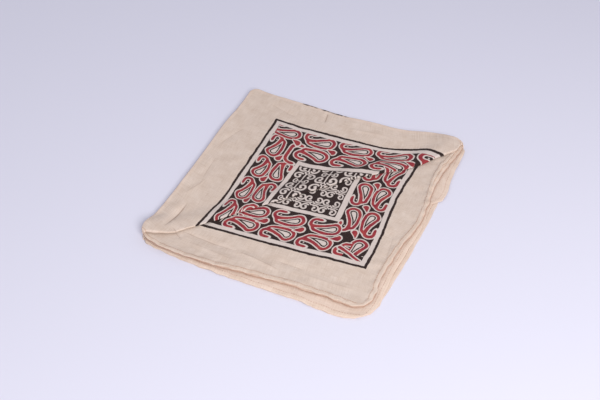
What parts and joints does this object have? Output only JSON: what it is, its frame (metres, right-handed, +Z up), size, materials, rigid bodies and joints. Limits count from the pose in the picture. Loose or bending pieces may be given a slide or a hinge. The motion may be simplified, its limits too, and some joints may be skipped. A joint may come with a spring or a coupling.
{
  "type": "folded bandana",
  "caption": "Hemmed square cotton bandana folded in quarters and laid flat, with a diagonal pleat across its top layer and a framed paisley print.",
  "frame": {"origin": "middle of the folded cloth's footprint, on the surface that it lies on", "axes": "+Z up, through the layers; the first fold lies along the -X side and the second fold along the +Y side; the -Y and +X sides are the open hemmed sides"},
  "size_m": [0.285, 0.3036, 0.0104],
  "materials": {
    "printed_cotton": "matt plain weave with a black and red block print"
  },
  "bodies": {
    "root": {"bandana": "printed_cotton"}
  },
  "joints": []
}
